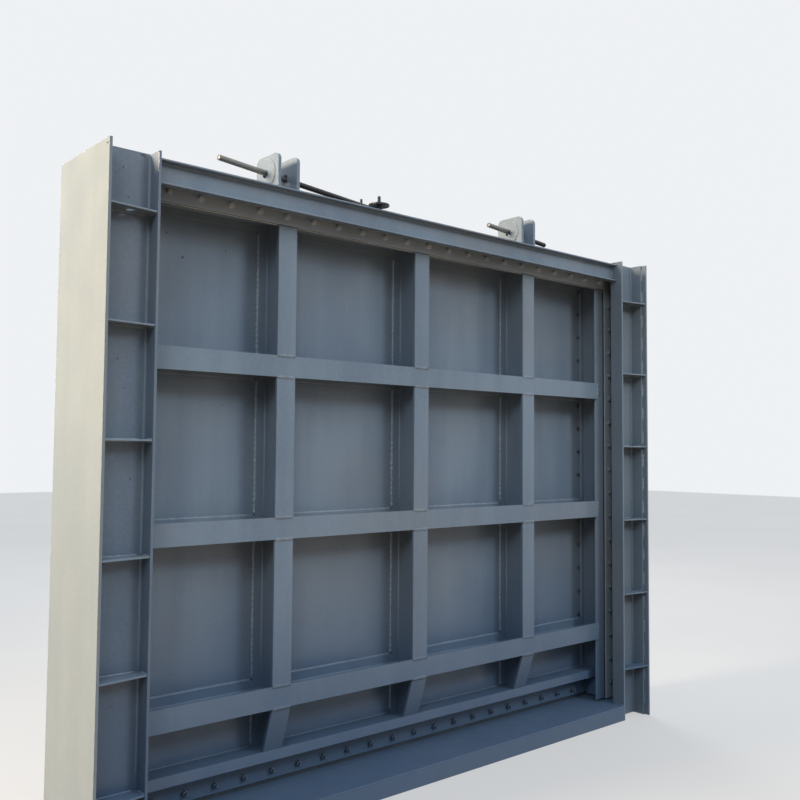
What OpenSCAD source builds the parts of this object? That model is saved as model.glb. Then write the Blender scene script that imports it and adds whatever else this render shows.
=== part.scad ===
// Vertical-lift sluice gate: a welded steel leaf that slides up and down in a
// welded guide frame with a lintel and a sill. All sizes are in millimetres.
// The origin is at the bottom centre of the frame, X runs across the waterway,
// -Y is the downstream side with the open ribs, +Y is the upstream side, +Z is up.

/* [Frame] */
// Overall width over the two side plates
frame_w = 3606; // [3200:1:4200]
// Overall height of the guide frame
frame_h = 2865; // [2500:1:3400]
// How far the side plates stand out past the guide channels, on both faces
side_over = 30; // [10:1:80]
// Thickness of the side plates
side_t = 12; // [8:1:20]

/* [Guide channels] */
// Width of a guide channel across the gate
channel_w = 220; // [200:1:250]
// Depth of a guide channel, web and flanges together
channel_d = 84; // [60:1:88]
// Thickness of the channel web
channel_web_t = 7; // [5:1:12]
// Thickness of the channel flanges
channel_flange_t = 12; // [8:1:16]
// Radius of the fillet between web and flange
channel_root_r = 10; // [4:1:11]
// Clear width of the guide slot, web to web
slot_w = 272; // [260:1:300]

/* [Column ribs] */
// Thickness of the small plates across a channel
column_rib_t = 8; // [5:1:12]
// Height of the lowest plate
column_rib_first = 307; // [150:1:400]
// Distance from one plate to the next
column_rib_pitch = 461; // [250:1:600]
// Least distance of the highest plate below the frame's top
column_rib_top_gap = 100; // [50:1:200]
// How far a plate's front edge lies behind the edges that it joins
column_rib_recess = 3; // [1:1:20]
// Corner cut of a plate at the web
column_rib_snipe = 12; // [12:1:20]
// Diameter of the hole in the top left plate
drain_hole_d = 36; // [20:1:40]

/* [Lintel and sill] */
// How far the lintel's upper face lies below the frame's top
lintel_drop = 15; // [10:1:30]
// Height of the lintel channel
lintel_h = 106; // [90:1:140]
// Depth of the lintel channel, web and flanges together
lintel_d = 44; // [36:1:60]
// Thickness of the lintel web
lintel_web_t = 7; // [5:1:10]
// Thickness of the lintel flanges
lintel_flange_t = 8; // [6:1:12]
// Radius of the fillets in the lintel and the sill channels
lintel_root_r = 6; // [3:1:8]
// Height of the sill's top face above the ground
sill_h = 90; // [60:1:120]
// Thickness of the sill plate
sill_t = 12; // [8:1:20]
// Width of the channels under the sill plate
sill_channel_w = 50; // [40:1:80]
// Wall of the channels under the sill plate
sill_channel_t = 6; // [4:1:10]

/* [Leaf] */
// Thickness of the skin plate
skin_t = 10; // [8:1:14]
// Gap between the leaf's edge and the side plate
side_gap = 21; // [15:1:40]
// How far the leaf's upper edge lies below the frame's top
leaf_top_gap = 75; // [65:1:95]
// How far the skin plate ends above the sill
skin_lift = 10; // [5:1:15]

/* [Main beams] */
// Heights of the three main beams
beam_z = [530, 1295, 2043];
// Depth of the main beams from the skin plate to the front
beam_d = 180; // [160:1:184]
// Width of the beam and rib flanges
flange_w = 100; // [80:1:120]
// Thickness of the front flanges
front_flange_t = 14; // [10:1:18]
// Thickness of the flanges on the skin
rear_flange_t = 10; // [6:1:14]
// Thickness of the webs
web_t = 8; // [6:1:12]
// Radius of the fillets between web and flanges
beam_root_r = 9; // [4:1:12]
// Distance from the middle rib to each outer rib
rib_x = 853; // [700:1:1000]
// Corner cut of a rib's web where it meets a beam
rib_snipe = 14; // [13:1:20]

/* [Top beam] */
// Width of the top beam's flanges
top_flange_w = 88; // [84:1:110]
// Thickness of the top beam's flanges
top_flange_t = 10; // [8:1:12]
// Thickness of the top beam's web
top_web_t = 6; // [5:1:10]
// Radius of the fillets in the top beam
top_root_r = 8; // [4:1:12]

/* [Bottom beam] */
// Height of the bottom beam's upper face above the sill
bottom_beam_rise = 185; // [160:1:220]
// Height of the bottom beam
bottom_beam_h = 49; // [40:1:60]
// Depth of the bottom beam from the skin plate to the front
bottom_beam_d = 112; // [90:1:130]
// Wall of the bottom beam
bottom_beam_t = 8; // [5:1:12]

/* [Edge beams] */
// Distance from the leaf's edge to the inner face of the web
edge_web_inset = 170; // [150:1:190]
// Width of the wide front flange that carries the side seal
edge_flange_w = 257; // [230:1:280]
// Thickness of the wide front flange
edge_flange_t = 10; // [8:1:14]
// Width of the flange on the skin
edge_rear_flange_w = 60; // [50:1:110]
// Length by which a main beam's flange laps the wide flange
flange_lap = 8; // [4:1:12]
// Clearance of the edge beam's notch round the bottom seal
notch_gap = 3; // [2:1:6]

/* [Seals] */
// Width of a clamping bar
bar_w = 80; // [60:1:88]
// Thickness of a clamping bar
bar_t = 8; // [6:1:10]
// Distance from the leaf's edge to the outer edge of the side bars
side_bar_inset = 96; // [92:1:110]
// Thickness of a rubber seal's flat tail
seal_t = 8; // [6:1:10]
// Diameter of a rubber seal's round bulb
bulb_d = 50; // [40:1:54]
// Gap between a bar's edge and the bulb beside it
bulb_gap = 1; // [0.5:0.5:2]
// Height of the bottom clamping bar
bottom_bar_h = 85; // [60:1:100]
// How far the bottom clamping bar lies above the skin's lower edge
bottom_bar_rise = 10; // [5:1:15]
// Thickness of the bottom clamping bar
bottom_bar_t = 10; // [6:1:14]
// Thickness of the bottom rubber
bottom_seal_t = 10; // [6:1:14]
// How far the bottom rubber reaches above its bar
bottom_seal_over = 5; // [2:1:10]
// Width of the seats that the bulbs run on
seat_w = 56; // [40:1:58]

/* [Slides] */
// Width of a main slide block
slide_w = 36; // [30:1:40]
// Height of a main slide block
slide_h = 200; // [120:1:300]
// Distance from the leaf's lower or upper edge to the middle of a block
slide_inset = 250; // [200:1:400]
// Thickness of the rear slide strips
strip_t = 9; // [6:1:14]
// Width of the rear slide strips
strip_w = 100; // [60:1:120]
// Distance from the leaf's edge to the outer edge of the rear strips
strip_inset = 145; // [120:1:160]

/* [Lifting lugs] */
// Thickness of a lug plate
lug_t = 16; // [12:1:25]
// Clear gap between the two plates of a lug, which stands over an outer rib
lug_gap = 89; // [70:1:120]
// Height of the lug's hole above the leaf's upper edge
lug_rise = 172; // [150:1:220]
// Height of the lug's flat top above its hole
lug_over = 88; // [80:1:110]
// Distance from the skin plate's back to the middle of the hole
lug_hole_back = 88; // [80:1:100]
// Radius of the lug's upper corners
lug_corner_r = 32; // [10:1:60]
// Radius of the hole in the lugs
lug_hole_r = 20; // [18:1:24]
// Corner cut of a lug's foot between the top beam's flanges
lug_snipe = 12; // [12:1:16]
// Clearance of a lug's front corner above the top seal's bulb
lug_notch_gap = 11; // [5:1:20]
// How far a lug's front corner is cut back behind the wide flange's face
lug_notch_back = 4; // [2:1:8]
// Radius of the round doubler on a lug plate
boss_r = 70; // [40:1:76]
// Thickness of the round doubler
boss_t = 8; // [5:1:12]
// Radius of the loose lifting rods
rod_r = 14; // [12:1:17]
// Lengths of the left and the right lifting rod
rod_l = [900, 510];
// How far each rod stands out to the left of its lug's middle
rod_reach = [320, 240];

/* [Lintel clamp] */
// Place of the clamp along the lintel
clamp_x = -380; // [-600:1:600]
// Distance from the guide slot to the clamp's middle
clamp_inset = 26; // [24:1:30]
// Diameter of the clamp's disc
clamp_disc_d = 104; // [60:1:104]
// Thickness of the clamp's disc
clamp_disc_t = 8; // [5:1:12]
// Height of the clamp's foot under the disc
clamp_foot_h = 18; // [8:1:30]
// Width of the foot and the nut over their corners
clamp_nut_w = 30; // [24:1:36]
// Height of the nut
clamp_nut_h = 13; // [8:1:16]
// Diameter of the threaded stud
clamp_stud_d = 16; // [12:1:20]
// Height of the stud above the nut
clamp_stud_h = 28; // [15:1:60]
// Distance from the clamp to the bare stud beside it
bare_stud_gap = 113; // [80:1:200]
// Diameter of the bare stud
bare_stud_d = 12; // [8:1:16]
// Height of the bare stud
bare_stud_h = 32; // [20:1:60]

/* [Clearances] */
// Running clearance of the leaf in its guides
run_gap = 5; // [5:0.5:6]
// Clearance of a face that only rests on another
seat_gap = 0.3; // [0.2:0.1:0.5]

/* [Hidden] */
$fn = 64;
paint = [0.40, 0.45, 0.50];
rubber = [0.06, 0.06, 0.06];
steel = [0.45, 0.43, 0.41];
slide_block = [0.20, 0.19, 0.17];

// How far a cut reaches past the face that it opens
over = 1;

// Frame
side_x = frame_w / 2 - side_t;
web_y = slot_w / 2;
channel_x = side_x - channel_w;
channel_front_y = web_y + channel_d;
channel_floor_y = web_y + channel_web_t;
side_y = channel_front_y + side_over;
column_rib_count = 1 + floor((frame_h - column_rib_first - column_rib_top_gap) / column_rib_pitch);
lintel_top = frame_h - lintel_drop;
lintel_z = lintel_top - lintel_h;
sill_channel_h = sill_h - sill_t;

// Planes of the leaf along the flow
strip_back_y = web_y - run_gap;
skin_back_y = strip_back_y - strip_t;
skin_y = skin_back_y - skin_t;
rear_flange_y = skin_y - rear_flange_t;
beam_front_y = skin_y - beam_d;
edge_flange_y = beam_front_y + front_flange_t;
edge_back_y = edge_flange_y + edge_flange_t;
top_front_y = edge_flange_y + top_flange_t;
top_rear_y = skin_y - top_flange_t;
bottom_beam_y = skin_y - bottom_beam_d;
bar_y = edge_flange_y - seal_t - bar_t;
bottom_bar_y = skin_y - bottom_seal_t - bottom_bar_t;

// Places across the leaf
edge_x = side_x - side_gap;
edge_web_x = edge_x - edge_web_inset;
edge_flange_x = edge_x - edge_flange_w;
edge_rear_x = edge_web_x + web_t / 2 - edge_rear_flange_w / 2;
side_bar_x = edge_x - side_bar_inset;
strip_x = edge_x - strip_inset;
slide_x = edge_x - slide_w;

// Heights on the leaf
leaf_top = frame_h - leaf_top_gap;
skin_bottom = sill_h + skin_lift;
top_beam_z = leaf_top - top_flange_w / 2;
bottom_beam_z = sill_h + bottom_beam_rise;
top_bar_low = top_beam_z - bar_w / 2;
top_bar_high = top_beam_z + bar_w / 2;
bottom_bar_low = skin_bottom + bottom_bar_rise;
bottom_bar_high = bottom_bar_low + bottom_bar_h;
bottom_seal_high = bottom_bar_high + bottom_seal_over;
slide_z = [skin_bottom + slide_inset, (skin_bottom + leaf_top) / 2, leaf_top - slide_inset];

// Bulbs of the seals and their seats
bulb_r = bulb_d / 2;
bulb_x = side_bar_x + bulb_gap + bulb_r;
bulb_z = top_bar_high + bulb_gap + bulb_r;
seat_y = edge_flange_y - bulb_d - run_gap;

// Lugs. A rod leans until it all but touches the lower edge of one hole and
// the upper edge of the other.
lug_y = skin_back_y - lug_hole_back;
lug_hole_z = leaf_top + lug_rise;
lug_top = lug_hole_z + lug_over;
lug_notch_y = edge_flange_y + lug_notch_back;
lug_notch_z = bulb_z + bulb_r + lug_notch_gap;
lug_outer = lug_gap / 2 + lug_t + boss_t;
rod_lean = atan((lug_hole_r - rod_r - seat_gap) / lug_outer);

// A block between two corners
module block(low, high) {
    translate(low)
        cube(high - low);
}

// The shape on the right side, or its mirror image on the left
module on_side(side) {
    mirror([side < 0 ? 1 : 0, 0, 0])
        children();
}

// The shape on the downstream side, or its mirror image upstream
module on_face(face) {
    mirror([0, face > 0 ? 1 : 0, 0])
        children();
}

// A profile drawn in Y and Z, pushed along X from x
module across(x, length) {
    translate([x, 0, 0])
        rotate([90, 0, 90])
            linear_extrude(length)
                children();
}

// Fillet of a rolled section in the corner at the given point. The two signs
// say in which quarter it lies.
module root_fillet(corner, along, up, r) {
    translate(corner)
        mirror([along < 0 ? 1 : 0, 0])
            mirror([0, up < 0 ? 1 : 0])
                difference() {
                    square(r);
                    translate([r, r])
                        circle(r = r);
                }
}

// Channel with its back on the first axis, its flanges towards the negative
// second axis and one back corner at the origin
module channel_profile(w, d, wall, flange, r) {
    union() {
        translate([0, -wall])
            square([w, wall]);
        for (x = [0, w - flange])
            translate([x, -d])
                square([flange, d]);
        root_fillet([flange, -wall], 1, -1, r);
        root_fillet([w - flange, -wall], -1, -1, r);
    }
}

// I section between two planes, its web along the first axis
module i_profile(front_y, front_t, rear_y, rear_t, w, wall, r) {
    front_in = front_y + front_t;
    rear_in = rear_y - rear_t;
    union() {
        translate([front_y, -w / 2])
            square([front_t, w]);
        translate([rear_in, -w / 2])
            square([rear_t, w]);
        translate([front_in, -wall / 2])
            square([rear_in - front_in, wall]);
        for (up = [-1, 1]) {
            root_fillet([front_in, up * wall / 2], 1, up, r);
            root_fillet([rear_in, up * wall / 2], -1, up, r);
        }
    }
}

module main_profile() {
    i_profile(beam_front_y, front_flange_t, skin_y, rear_flange_t, flange_w, web_t, beam_root_r);
}

module side_plate(side) {
    color(paint)
        on_side(side)
            block([side_x, -side_y, 0], [side_x + side_t, side_y, frame_h]);
}

// Rolled channel with its web on the guide slot and its flanges outwards
module guide_channel(side, face) {
    color(paint)
        on_side(side)
            on_face(face)
                translate([channel_x, -web_y, 0])
                    linear_extrude(frame_h)
                        channel_profile(channel_w, channel_d, channel_web_t, channel_flange_t, channel_root_r);
}

// One plate across a channel, with its two back corners cut. Its front edge
// slants from the inner flange to the side plate, in front of the outer flange.
module column_rib(drained) {
    low_x = channel_x + channel_flange_t;
    high_x = side_x - channel_flange_t;
    front_y = -channel_front_y + column_rib_recess;
    linear_extrude(column_rib_t)
        difference() {
            polygon([
                [low_x, front_y],
                [side_x, -side_y + column_rib_recess],
                [side_x, -channel_front_y],
                [high_x, -channel_front_y],
                [high_x, -channel_floor_y - column_rib_snipe],
                [high_x - column_rib_snipe, -channel_floor_y],
                [low_x + column_rib_snipe, -channel_floor_y],
                [low_x, -channel_floor_y - column_rib_snipe],
            ]);
            if (drained)
                translate([(low_x + high_x) / 2, (front_y - channel_floor_y) / 2])
                    circle(d = drain_hole_d);
        }
}

module column_ribs(side, face) {
    color(paint)
        on_side(side)
            on_face(face)
                for (i = [0 : column_rib_count - 1])
                    translate([0, 0, column_rib_first + i * column_rib_pitch - column_rib_t / 2])
                        column_rib(side < 0 && face < 0 && i == column_rib_count - 1);
}

// Channel across the top, its web flush with the guide channels' webs
module lintel(face) {
    color(paint)
        on_face(face)
            across(-channel_x, 2 * channel_x)
                translate([-web_y, lintel_z])
                    mirror([1, -1])
                        channel_profile(lintel_h, lintel_d, lintel_web_t, lintel_flange_t, lintel_root_r);
}

// Foot, disc, nut and stud on the lintel's upper flange, with a bare stud beside
module lintel_clamp() {
    disc_z = clamp_foot_h + clamp_disc_t;
    color(steel)
        translate([clamp_x, -web_y - clamp_inset, lintel_top]) {
            union() {
                cylinder(h = clamp_foot_h, d = clamp_nut_w, $fn = 6);
                translate([0, 0, clamp_foot_h])
                    cylinder(h = clamp_disc_t, d = clamp_disc_d);
                translate([0, 0, disc_z])
                    cylinder(h = clamp_nut_h, d = clamp_nut_w, $fn = 6);
                translate([0, 0, disc_z + clamp_nut_h])
                    cylinder(h = clamp_stud_h, d = clamp_stud_d);
            }
            translate([-bare_stud_gap, 0, 0])
                cylinder(h = bare_stud_h, d = bare_stud_d);
        }
}

// Floor of the waterway, which also closes the bottom of both slots
module sill_plate() {
    color(paint)
        translate([0, 0, sill_h - sill_t])
            linear_extrude(sill_t)
                union() {
                    square([2 * channel_x, 2 * channel_front_y], center = true);
                    square([2 * side_x, slot_w], center = true);
                }
}

module sill_channel(face) {
    color(paint)
        on_face(face)
            across(-channel_x, 2 * channel_x)
                translate([-channel_front_y, 0])
                    rotate(90)
                        channel_profile(sill_channel_h, sill_channel_w, sill_channel_t, sill_channel_t,
                                        lintel_root_r);
}

module seal_seat_side(side) {
    color(steel)
        on_side(side)
            block([bulb_x - seat_w / 2, -web_y, sill_h], [bulb_x + seat_w / 2, seat_y, frame_h]);
}

module seal_seat_top() {
    inner_x = bulb_x - seat_w / 2;
    color(steel)
        block([-inner_x, -web_y, bulb_z - seat_w / 2], [inner_x, seat_y, bulb_z + seat_w / 2]);
}

module skin_plate() {
    color(paint)
        block([-edge_x, skin_y, skin_bottom], [edge_x, skin_back_y, leaf_top]);
}

// What is cut from the ends of a beam so that it fits round the edge beams'
// flanges, with its front flange lapping the wide one
module end_copes(z) {
    flange_x = edge_flange_x + flange_lap;
    low = z - flange_w;
    high = z + flange_w;
    for (side = [-1, 1])
        on_side(side) {
            block([flange_x, beam_front_y - over, low], [edge_x, edge_flange_y, high]);
            block([edge_flange_x, edge_flange_y, low], [edge_x, edge_back_y, high]);
            block([edge_rear_x, rear_flange_y, low], [edge_x, skin_y + over, high]);
        }
}

// I section across the leaf, whose front flange laps the edge beams
module main_beam(z) {
    color(paint)
        difference() {
            across(-edge_web_x, 2 * edge_web_x)
                translate([0, z])
                    main_profile();
            end_copes(z);
        }
}

// Rolled I section along the leaf's upper edge
module top_beam() {
    color(paint)
        difference() {
            across(-edge_web_x, 2 * edge_web_x)
                translate([0, top_beam_z])
                    i_profile(edge_flange_y, top_flange_t, skin_y, top_flange_t, top_flange_w, top_web_t,
                              top_root_r);
            end_copes(top_beam_z);
        }
}

// Channel with its web on top, along the leaf's lower edge
module bottom_beam() {
    low = bottom_beam_z - bottom_beam_h;
    color(paint)
        union() {
            block([-edge_web_x, bottom_beam_y, bottom_beam_z - bottom_beam_t],
                  [edge_web_x, rear_flange_y, bottom_beam_z]);
            block([-edge_web_x, bottom_beam_y, low],
                  [edge_web_x, bottom_beam_y + bottom_beam_t, bottom_beam_z]);
            block([-edge_rear_x, rear_flange_y, low], [edge_rear_x, skin_y, bottom_beam_z]);
        }
}

// One length of an upright rib between two beams. Its web reaches from web to
// web, its flanges from flange to flange. front_y is the front of the upper
// beam's web.
module rib_length(low_web, low_flange, high_flange, high_web, front_y) {
    union() {
        translate([0, 0, low_flange])
            linear_extrude(high_flange - low_flange)
                rotate(90)
                    main_profile();
        across(-web_t / 2, web_t)
            polygon([
                [edge_flange_y + rib_snipe, low_web],
                [rear_flange_y - rib_snipe, low_web],
                [rear_flange_y, low_web + rib_snipe],
                [rear_flange_y, high_web - rib_snipe],
                [rear_flange_y - rib_snipe, high_web],
                [front_y + rib_snipe, high_web],
                [front_y, high_web - rib_snipe],
                [front_y, high_flange],
                [edge_flange_y, high_flange],
                [edge_flange_y, low_web + rib_snipe],
            ]);
    }
}

// The lowest length of a rib, whose front flange slants back to the bottom beam
module rib_foot(high_flange, high_web) {
    run = bottom_beam_y - beam_front_y;
    rise = high_flange - bottom_beam_z;
    slant_t = front_flange_t * norm([run, rise]) / rise;
    union() {
        across(-web_t / 2, web_t)
            polygon([
                [bottom_beam_y + slant_t, bottom_beam_z],
                [rear_flange_y, bottom_beam_z],
                [rear_flange_y, high_web - rib_snipe],
                [rear_flange_y - rib_snipe, high_web],
                [edge_flange_y + rib_snipe, high_web],
                [edge_flange_y, high_web - rib_snipe],
                [edge_flange_y, high_flange],
                [beam_front_y + slant_t, high_flange],
            ]);
        across(-flange_w / 2, flange_w)
            polygon([
                [bottom_beam_y, bottom_beam_z],
                [bottom_beam_y + slant_t, bottom_beam_z],
                [beam_front_y + slant_t, high_flange],
                [beam_front_y, high_flange],
            ]);
        block([-flange_w / 2, rear_flange_y, bottom_beam_z], [flange_w / 2, skin_y, high_flange]);
    }
}

module rib(x) {
    half_flange = flange_w / 2;
    half_web = web_t / 2;
    color(paint)
        translate([x, 0, 0]) {
            rib_foot(beam_z[0] - half_flange, beam_z[0] - half_web);
            for (i = [0, 1])
                rib_length(beam_z[i] + half_web, beam_z[i] + half_flange,
                           beam_z[i + 1] - half_flange, beam_z[i + 1] - half_web, edge_flange_y);
            rib_length(beam_z[2] + half_web, beam_z[2] + half_flange,
                       top_beam_z - top_flange_w / 2, top_beam_z - top_web_t / 2, top_front_y);
        }
}

// Upright at the leaf's side: a web with a wide front flange for the side seal
module edge_beam(side) {
    notch_y = bottom_bar_y - notch_gap;
    notch_z = bottom_seal_high + notch_gap;
    color(paint)
        on_side(side)
            union() {
                block([edge_flange_x, edge_flange_y, skin_bottom], [edge_x, edge_back_y, leaf_top]);
                across(edge_web_x, web_t)
                    polygon([
                        [edge_back_y, skin_bottom],
                        [notch_y, skin_bottom],
                        [notch_y, notch_z],
                        [rear_flange_y, notch_z],
                        [rear_flange_y, leaf_top],
                        [edge_back_y, leaf_top],
                    ]);
                block([edge_rear_x, rear_flange_y, notch_z],
                      [edge_rear_x + edge_rear_flange_w, skin_y, leaf_top]);
            }
}

// The top bar lies between the two side bars
module seal_bar_top() {
    end_x = side_bar_x - bar_w;
    color(paint)
        block([-end_x, bar_y, top_bar_low], [end_x, bar_y + bar_t, top_bar_high]);
}

module seal_bar_side(side) {
    color(paint)
        on_side(side)
            block([side_bar_x - bar_w, bar_y, skin_bottom], [side_bar_x, bar_y + bar_t, top_bar_high]);
}

module seal_bar_bottom() {
    color(paint)
        block([-bulb_x, bottom_bar_y, bottom_bar_low], [bulb_x, bottom_bar_y + bottom_bar_t, bottom_bar_high]);
}

// Round bulb of a seal. The origin is on the flange below its middle.
module bulb_outline() {
    translate([0, -bulb_r])
        circle(r = bulb_r);
}

// Bulb with its flat tail, which lies under the bar beside it
module seal_outline() {
    tail_w = bar_w + bulb_gap + bulb_r;
    union() {
        translate([-tail_w, -seal_t])
            square([tail_w, seal_t]);
        bulb_outline();
    }
}

module seal_side(side) {
    color(rubber)
        on_side(side)
            translate([bulb_x, edge_flange_y, skin_bottom])
                linear_extrude(top_bar_high - skin_bottom)
                    seal_outline();
}

// The top bulb runs on over the side seals
module seal_top() {
    tail_x = side_bar_x - bar_w;
    end_x = bulb_x + bulb_r;
    color(rubber)
        translate([0, edge_flange_y, bulb_z])
            rotate([0, 90, 0])
                mirror([1, 0, 0])
                    union() {
                        translate([0, 0, -tail_x])
                            linear_extrude(2 * tail_x)
                                seal_outline();
                        translate([0, 0, -end_x])
                            linear_extrude(2 * end_x)
                                bulb_outline();
                    }
}

module seal_bottom() {
    color(rubber)
        block([-bulb_x, skin_y - bottom_seal_t, sill_h + seat_gap], [bulb_x, skin_y, bottom_seal_high]);
}

module main_slides(side) {
    front_y = -web_y + run_gap;
    color(slide_block)
        on_side(side)
            for (z = slide_z)
                block([slide_x, front_y, z - slide_h / 2], [edge_x, edge_flange_y, z + slide_h / 2]);
}

module rear_slide(side) {
    color(slide_block)
        on_side(side)
            block([strip_x - strip_w, skin_back_y, skin_bottom], [strip_x, strip_back_y, leaf_top]);
}

// Side view of a lug plate above the leaf, with two round upper corners
module lug_outline() {
    union() {
        translate([lug_notch_y, leaf_top])
            square([skin_back_y - lug_notch_y, lug_notch_z - leaf_top]);
        translate([beam_front_y, lug_notch_z])
            square([skin_back_y - beam_front_y, lug_top - lug_corner_r - lug_notch_z]);
        translate([beam_front_y + lug_corner_r, lug_top - lug_corner_r])
            square([skin_back_y - beam_front_y - 2 * lug_corner_r, lug_corner_r]);
        for (y = [beam_front_y + lug_corner_r, skin_back_y - lug_corner_r])
            translate([y, lug_top - lug_corner_r])
                circle(r = lug_corner_r);
    }
}

// One lug plate with its doubler on the side away from the other plate. Its
// foot stands on the top beam's web, between the flanges.
module lug_plate(side) {
    foot_z = top_beam_z + top_web_t / 2;
    on_side(side)
        difference() {
            union() {
                across(lug_gap / 2, lug_t)
                    union() {
                        lug_outline();
                        polygon([
                            [top_front_y + lug_snipe, foot_z],
                            [top_rear_y - lug_snipe, foot_z],
                            [top_rear_y, foot_z + lug_snipe],
                            [top_rear_y, leaf_top],
                            [top_front_y, leaf_top],
                            [top_front_y, foot_z + lug_snipe],
                        ]);
                    }
                across(lug_gap / 2 + lug_t, boss_t)
                    translate([lug_y, lug_hole_z])
                        circle(r = boss_r);
            }
            across(0, lug_outer + over)
                translate([lug_y, lug_hole_z])
                    circle(r = lug_hole_r);
        }
}

module lug(x) {
    color(paint)
        translate([x, 0, 0]) {
            lug_plate(-1);
            lug_plate(1);
        }
}

// Loose round bar through both plates of a lug
module rod(x, length, reach) {
    color(steel)
        translate([x, lug_y, lug_hole_z])
            rotate([0, 90 + rod_lean, 0])
                translate([0, 0, -reach])
                    cylinder(h = length, r = rod_r);
}

side_plate(-1);  // side_plate_left
side_plate(1);  // side_plate_right
guide_channel(-1, -1);  // front_channel_left
guide_channel(1, -1);  // front_channel_right
guide_channel(-1, 1);  // rear_channel_left
guide_channel(1, 1);  // rear_channel_right
column_ribs(-1, -1);  // front_ribs_left
column_ribs(1, -1);  // front_ribs_right
column_ribs(-1, 1);  // rear_ribs_left
column_ribs(1, 1);  // rear_ribs_right
lintel(-1);  // lintel_front
lintel(1);  // lintel_rear
lintel_clamp();
sill_plate();
sill_channel(-1);  // sill_channel_front
sill_channel(1);  // sill_channel_rear
seal_seat_side(-1);  // seal_seat_left
seal_seat_side(1);  // seal_seat_right
seal_seat_top();
skin_plate();
top_beam();
main_beam(beam_z[2]);  // upper_beam
main_beam(beam_z[1]);  // middle_beam
main_beam(beam_z[0]);  // lower_beam
bottom_beam();
rib(-rib_x);  // rib_left
rib(0);  // rib_centre
rib(rib_x);  // rib_right
edge_beam(-1);  // edge_beam_left
edge_beam(1);  // edge_beam_right
seal_bar_top();
seal_bar_bottom();
seal_bar_side(-1);  // seal_bar_left
seal_bar_side(1);  // seal_bar_right
seal_top();
seal_bottom();
seal_side(-1);  // seal_left
seal_side(1);  // seal_right
main_slides(-1);  // main_slides_left
main_slides(1);  // main_slides_right
rear_slide(-1);  // rear_slide_left
rear_slide(1);  // rear_slide_right
lug(-rib_x);  // lug_left
lug(rib_x);  // lug_right
rod(-rib_x, rod_l[0], rod_reach[0]);  // rod_left
rod(rib_x, rod_l[1], rod_reach[1]);  // rod_right
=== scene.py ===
import bpy
import bmesh
import math
import random
from mathutils import Matrix, Vector


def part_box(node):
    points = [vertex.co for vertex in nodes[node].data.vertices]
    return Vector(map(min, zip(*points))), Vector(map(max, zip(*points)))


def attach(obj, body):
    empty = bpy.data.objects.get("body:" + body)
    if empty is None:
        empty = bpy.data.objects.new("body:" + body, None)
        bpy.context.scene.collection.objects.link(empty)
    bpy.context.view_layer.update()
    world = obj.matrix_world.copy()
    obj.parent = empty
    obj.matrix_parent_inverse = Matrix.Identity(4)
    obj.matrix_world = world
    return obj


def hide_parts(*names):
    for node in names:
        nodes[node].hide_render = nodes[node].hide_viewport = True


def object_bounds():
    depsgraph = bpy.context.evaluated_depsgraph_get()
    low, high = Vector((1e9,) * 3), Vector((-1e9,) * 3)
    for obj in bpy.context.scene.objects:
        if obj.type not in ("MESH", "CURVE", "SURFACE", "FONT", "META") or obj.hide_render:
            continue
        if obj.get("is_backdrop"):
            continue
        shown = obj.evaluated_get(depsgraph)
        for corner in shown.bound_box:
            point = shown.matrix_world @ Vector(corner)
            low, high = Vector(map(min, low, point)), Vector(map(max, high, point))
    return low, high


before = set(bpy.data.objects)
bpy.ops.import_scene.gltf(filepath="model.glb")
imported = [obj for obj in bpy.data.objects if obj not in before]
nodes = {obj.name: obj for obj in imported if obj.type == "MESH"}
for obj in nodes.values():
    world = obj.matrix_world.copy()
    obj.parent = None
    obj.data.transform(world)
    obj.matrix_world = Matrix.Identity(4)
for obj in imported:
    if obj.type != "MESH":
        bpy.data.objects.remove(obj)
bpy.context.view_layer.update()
random.seed(7)


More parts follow.
